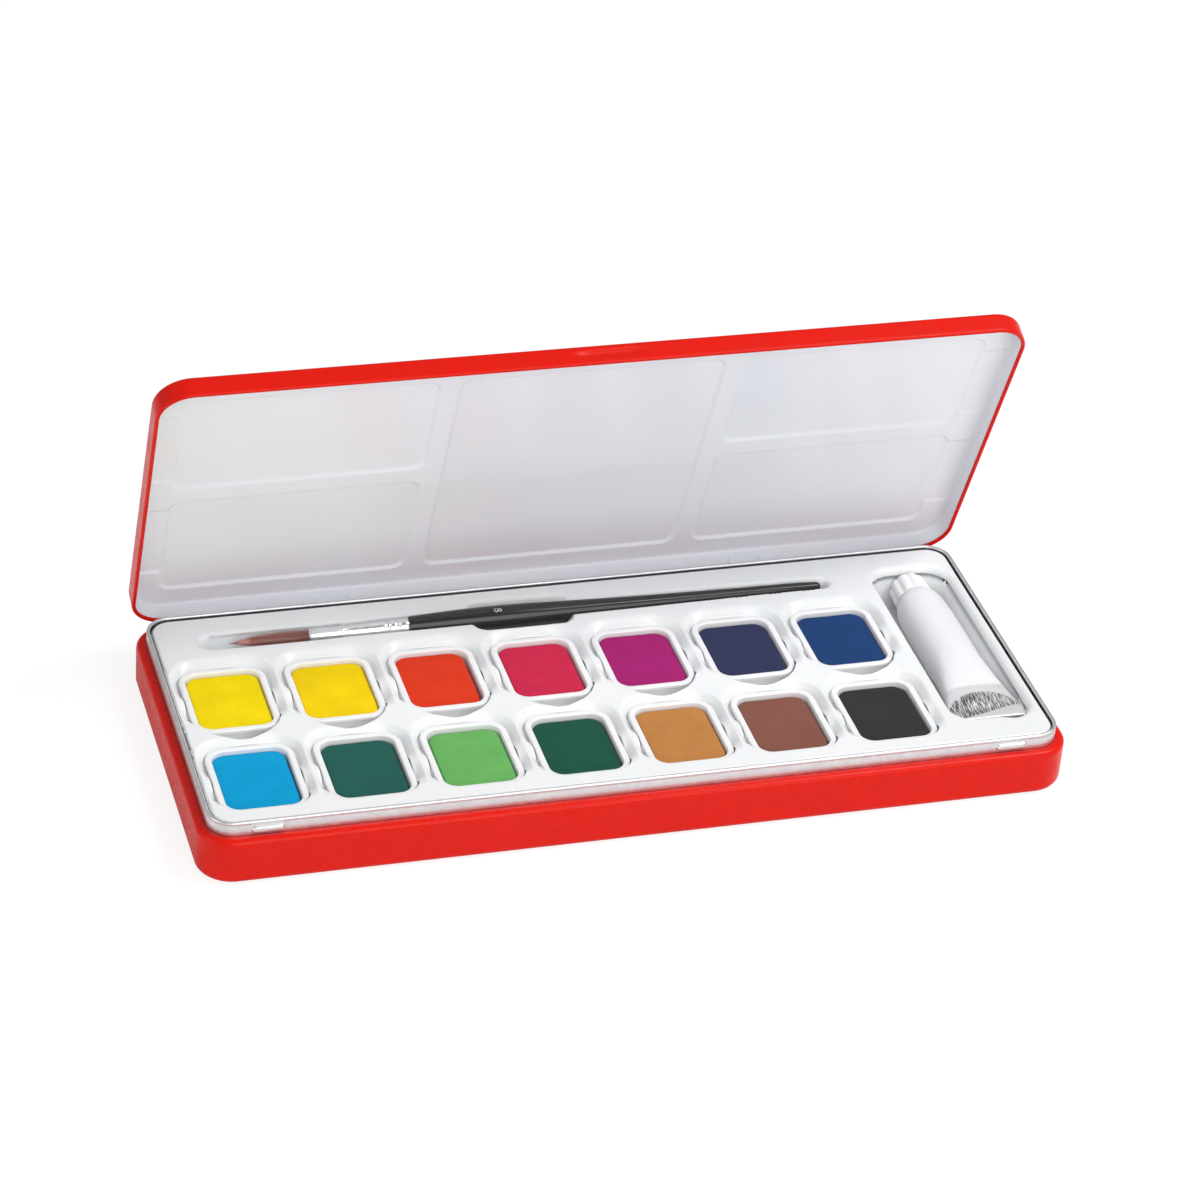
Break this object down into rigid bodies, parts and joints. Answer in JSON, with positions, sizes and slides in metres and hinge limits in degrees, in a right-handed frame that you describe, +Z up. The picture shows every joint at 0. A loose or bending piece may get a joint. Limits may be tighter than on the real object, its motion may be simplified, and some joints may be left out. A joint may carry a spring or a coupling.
{
  "type": "gouache paint set box",
  "caption": "Shallow hinged tin paint set: palette lid with mixing wells, moulded tray of filled gouache pans, round brush in a clear sleeve and a screw-capped tube of white.",
  "frame": {"origin": "centre of the tin's flat underside", "axes": "+X along the tin's length to the right, +Y from the front towards the hinge, +Z up"},
  "size_m": [0.27, 0.1229, 0.1236],
  "materials": {
    "tin_enamel": "gloss enamel",
    "tinplate": "bright tinplate",
    "hinge_steel": "satin",
    "tray_plastic": "smooth moulded",
    "pan_plastic": "smooth moulded",
    "handle_lacquer": "gloss black lacquer",
    "ferrule_metal": "bright, seamless",
    "bristle": "soft synthetic hair",
    "clear_sleeve": "clear",
    "tube_metal": "white lacquer over soft metal",
    "cap_plastic": "fluted",
    "white_paint": "thick paste",
    "paint_lemon_yellow": "dried gouache",
    "paint_warm_yellow": "dried gouache",
    "paint_orange_red": "dried gouache",
    "paint_crimson": "dried gouache",
    "paint_magenta": "dried gouache",
    "paint_dark_violet": "dried gouache",
    "paint_deep_blue": "dried gouache",
    "paint_cyan": "dried gouache",
    "paint_dark_teal": "dried gouache",
    "paint_light_green": "dried gouache",
    "paint_dark_green": "dried gouache",
    "paint_ochre": "dried gouache",
    "paint_brown": "dried gouache",
    "paint_black": "dried gouache"
  },
  "bodies": {
    "tin": {"base_shell": "tin_enamel", "neck_frame": "tinplate", "base_hinge_leaves": "hinge_steel", "hinge_pins": "hinge_steel"},
    "lid": {"lid_shell": "tin_enamel", "lid_hinge_leaves": "hinge_steel"},
    "tray": {"tray": "tray_plastic"},
    "filled_pan_01": {"pan_01": "pan_plastic", "paint_01": "paint_lemon_yellow"},
    "filled_pan_02": {"pan_02": "pan_plastic", "paint_02": "paint_warm_yellow"},
    "filled_pan_03": {"pan_03": "pan_plastic", "paint_03": "paint_orange_red"},
    "filled_pan_04": {"pan_04": "pan_plastic", "paint_04": "paint_crimson"},
    "filled_pan_05": {"pan_05": "pan_plastic", "paint_05": "paint_magenta"},
    "filled_pan_06": {"pan_06": "pan_plastic", "paint_06": "paint_dark_violet"},
    "filled_pan_07": {"pan_07": "pan_plastic", "paint_07": "paint_deep_blue"},
    "filled_pan_08": {"pan_08": "pan_plastic", "paint_08": "paint_cyan"},
    "filled_pan_09": {"pan_09": "pan_plastic", "paint_09": "paint_dark_teal"},
    "filled_pan_10": {"pan_10": "pan_plastic", "paint_10": "paint_light_green"},
    "filled_pan_11": {"pan_11": "pan_plastic", "paint_11": "paint_dark_green"},
    "filled_pan_12": {"pan_12": "pan_plastic", "paint_12": "paint_ochre"},
    "filled_pan_13": {"pan_13": "pan_plastic", "paint_13": "paint_brown"},
    "filled_pan_14": {"pan_14": "pan_plastic", "paint_14": "paint_black"},
    "brush": {"brush_handle": "handle_lacquer", "brush_ferrule": "ferrule_metal", "brush_bristles": "bristle", "brush_sleeve": "clear_sleeve"},
    "tube": {"tube_body": "tube_metal", "tube_paint": "white_paint"},
    "cap": {"tube_cap": "cap_plastic"}
  },
  "joints": [
    {"name": "lid_hinge", "type": "hinge", "parent": "tin", "child": "lid", "pos_m": [0, 0.0575, 0.0139], "axis": [-1, 0, 0], "range_deg": [-68.25, 109.75]},
    {"name": "tray_lift", "type": "slide", "parent": "tin", "child": "tray", "axis": [0, 0, 1], "range_m": [0, 0.021]},
    {"name": "pan_lift_01", "type": "slide", "parent": "tray", "child": "filled_pan_01", "axis": [0, 0, 1], "range_m": [0, 0.014]},
    {"name": "pan_lift_02", "type": "slide", "parent": "tray", "child": "filled_pan_02", "axis": [0, 0, 1], "range_m": [0, 0.014]},
    {"name": "pan_lift_03", "type": "slide", "parent": "tray", "child": "filled_pan_03", "axis": [0, 0, 1], "range_m": [0, 0.014]},
    {"name": "pan_lift_04", "type": "slide", "parent": "tray", "child": "filled_pan_04", "axis": [0, 0, 1], "range_m": [0, 0.014]},
    {"name": "pan_lift_05", "type": "slide", "parent": "tray", "child": "filled_pan_05", "axis": [0, 0, 1], "range_m": [0, 0.014]},
    {"name": "pan_lift_06", "type": "slide", "parent": "tray", "child": "filled_pan_06", "axis": [0, 0, 1], "range_m": [0, 0.014]},
    {"name": "pan_lift_07", "type": "slide", "parent": "tray", "child": "filled_pan_07", "axis": [0, 0, 1], "range_m": [0, 0.014]},
    {"name": "pan_lift_08", "type": "slide", "parent": "tray", "child": "filled_pan_08", "axis": [0, 0, 1], "range_m": [0, 0.014]},
    {"name": "pan_lift_09", "type": "slide", "parent": "tray", "child": "filled_pan_09", "axis": [0, 0, 1], "range_m": [0, 0.014]},
    {"name": "pan_lift_10", "type": "slide", "parent": "tray", "child": "filled_pan_10", "axis": [0, 0, 1], "range_m": [0, 0.014]},
    {"name": "pan_lift_11", "type": "slide", "parent": "tray", "child": "filled_pan_11", "axis": [0, 0, 1], "range_m": [0, 0.014]},
    {"name": "pan_lift_12", "type": "slide", "parent": "tray", "child": "filled_pan_12", "axis": [0, 0, 1], "range_m": [0, 0.014]},
    {"name": "pan_lift_13", "type": "slide", "parent": "tray", "child": "filled_pan_13", "axis": [0, 0, 1], "range_m": [0, 0.014]},
    {"name": "pan_lift_14", "type": "slide", "parent": "tray", "child": "filled_pan_14", "axis": [0, 0, 1], "range_m": [0, 0.014]},
    {"name": "brush_lift", "type": "slide", "parent": "tray", "child": "brush", "axis": [0, 0, 1], "range_m": [0, 0.015]},
    {"name": "tube_lift", "type": "slide", "parent": "tray", "child": "tube", "axis": [0, 0, 1], "range_m": [0, 0.02]},
    {"name": "cap_turn", "type": "hinge", "parent": "tube", "child": "cap", "pos_m": [0.1152, 0.03625, 0.0132], "axis": [0, 1, 0], "range_deg": [0, 720]}
  ]
}
